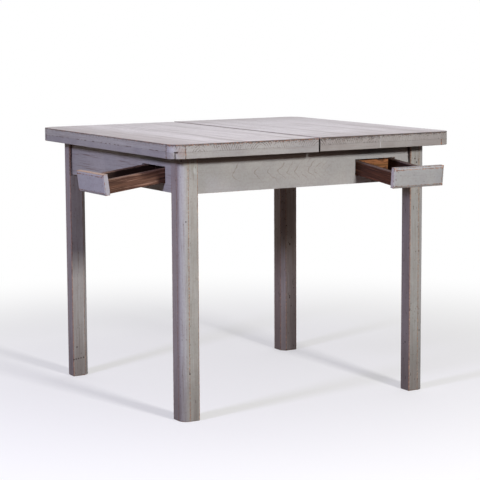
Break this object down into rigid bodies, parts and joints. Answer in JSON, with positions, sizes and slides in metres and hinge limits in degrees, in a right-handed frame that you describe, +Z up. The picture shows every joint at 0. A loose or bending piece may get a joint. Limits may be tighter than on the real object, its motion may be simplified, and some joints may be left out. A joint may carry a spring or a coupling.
{
  "type": "kitchen table with drawers",
  "caption": "Small square kitchen table in worn grey paint with a draw-apart top, square legs with a rounded outer corner, and a shallow lapped drawer in each side.",
  "frame": {"origin": "on the floor under the middle of the closed top, midway between the four legs", "axes": "+X to the right along the front side, +Y from the front to the back, +Z up"},
  "size_m": [1.0758, 1.0339, 0.7806],
  "materials": {
    "painted_top": "worn matt grey paint",
    "painted_frame": "worn matt grey paint",
    "painted_drawer_front": "worn matt grey paint",
    "stained_drawer_wood": "dark stained, matt",
    "bare_wood": "bare aged wood",
    "screw_steel": "dull steel"
  },
  "bodies": {
    "frame": {"front_apron": "painted_frame", "right_apron": "painted_frame", "back_apron": "painted_frame", "left_apron": "painted_frame", "front_left_leg": "painted_frame", "front_right_leg": "painted_frame", "back_right_leg": "painted_frame", "back_left_leg": "painted_frame", "guide_rail_front": "bare_wood", "guide_rail_back": "bare_wood", "drawer_bearer_left_outer": "bare_wood", "drawer_bearer_left_inner": "bare_wood", "drawer_bearer_right_outer": "bare_wood", "drawer_bearer_right_inner": "bare_wood", "tenon_pegs": "bare_wood", "glue_blocks": "bare_wood", "front_drawer_guides": "bare_wood", "right_drawer_guides": "bare_wood", "back_drawer_guides": "bare_wood", "left_drawer_guides": "bare_wood"},
    "front_rod": {"front_sill_rod": "bare_wood"},
    "front_drawer": {"front_drawer_front": "painted_drawer_front", "front_drawer_left_side": "stained_drawer_wood", "front_drawer_right_side": "stained_drawer_wood", "front_drawer_back": "stained_drawer_wood", "front_drawer_bottom": "stained_drawer_wood"},
    "right_rod": {"right_sill_rod": "bare_wood"},
    "right_drawer": {"right_drawer_front": "painted_drawer_front", "right_drawer_left_side": "stained_drawer_wood", "right_drawer_right_side": "stained_drawer_wood", "right_drawer_back": "stained_drawer_wood", "right_drawer_bottom": "stained_drawer_wood"},
    "back_rod": {"back_sill_rod": "bare_wood"},
    "back_drawer": {"back_drawer_front": "painted_drawer_front", "back_drawer_left_side": "stained_drawer_wood", "back_drawer_right_side": "stained_drawer_wood", "back_drawer_back": "stained_drawer_wood", "back_drawer_bottom": "stained_drawer_wood"},
    "left_rod": {"left_sill_rod": "bare_wood"},
    "left_drawer": {"left_drawer_front": "painted_drawer_front", "left_drawer_left_side": "stained_drawer_wood", "left_drawer_right_side": "stained_drawer_wood", "left_drawer_back": "stained_drawer_wood", "left_drawer_bottom": "stained_drawer_wood"},
    "left_top": {"left_top_board_outer": "painted_top", "left_top_board_inner": "painted_top", "left_edge_strip_front": "painted_top", "left_edge_strip_back": "painted_top", "left_edge_strip_outer": "painted_top", "left_top_runner_front": "bare_wood", "left_top_runner_back": "bare_wood", "left_runner_screws": "screw_steel"},
    "right_top": {"right_top_board_outer": "painted_top", "right_top_board_inner": "painted_top", "right_edge_strip_front": "painted_top", "right_edge_strip_back": "painted_top", "right_edge_strip_outer": "painted_top", "right_top_runner_front": "bare_wood", "right_top_runner_back": "bare_wood", "right_runner_screws": "screw_steel"}
  },
  "joints": [
    {"name": "front_drawer_droop", "type": "hinge", "parent": "frame", "child": "front_rod", "pos_m": [0.237, -0.3745, 0.6596], "axis": [1, 0, 0], "range_deg": [-5.82, 0]},
    {"name": "front_drawer_slide", "type": "slide", "parent": "front_rod", "child": "front_drawer", "axis": [0, -0.9949, -0.1011], "range_m": [-0.1993, 0]},
    {"name": "right_drawer_droop", "type": "hinge", "parent": "frame", "child": "right_rod", "pos_m": [0.4, 0.2135, 0.6596], "axis": [0, 1, 0], "range_deg": [0, 6.52]},
    {"name": "right_drawer_slide", "type": "slide", "parent": "right_rod", "child": "right_drawer", "axis": [1, 0, 0], "range_m": [0, 0.1993]},
    {"name": "back_drawer_droop", "type": "hinge", "parent": "frame", "child": "back_rod", "pos_m": [-0.237, 0.3745, 0.6596], "axis": [-1, 0, 0], "range_deg": [0, 6.52]},
    {"name": "back_drawer_slide", "type": "slide", "parent": "back_rod", "child": "back_drawer", "axis": [0, 1, 0], "range_m": [0, 0.1993]},
    {"name": "left_drawer_droop", "type": "hinge", "parent": "frame", "child": "left_rod", "pos_m": [-0.4, -0.2135, 0.6596], "axis": [0, -1, 0], "range_deg": [-7.42, 0.88]},
    {"name": "left_drawer_slide", "type": "slide", "parent": "left_rod", "child": "left_drawer", "axis": [-0.9917, 0, -0.1288], "range_m": [-0.1785, 0.0208]},
    {"name": "left_top_slide", "type": "slide", "parent": "frame", "child": "left_top", "axis": [-1, 0, 0], "range_m": [0, 0.2]},
    {"name": "right_top_slide", "type": "slide", "parent": "frame", "child": "right_top", "axis": [1, 0, 0], "range_m": [0, 0.2]}
  ],
  "couplings": [
    {"joint": "front_drawer_droop", "follows": "front_drawer_slide", "rad_per_m": 0.50792},
    {"joint": "right_drawer_droop", "follows": "right_drawer_slide", "rad_per_m": 0.56922},
    {"joint": "back_drawer_droop", "follows": "back_drawer_slide", "rad_per_m": 0.56922},
    {"joint": "left_drawer_droop", "follows": "left_drawer_slide", "rad_per_m": 0.72355}
  ]
}
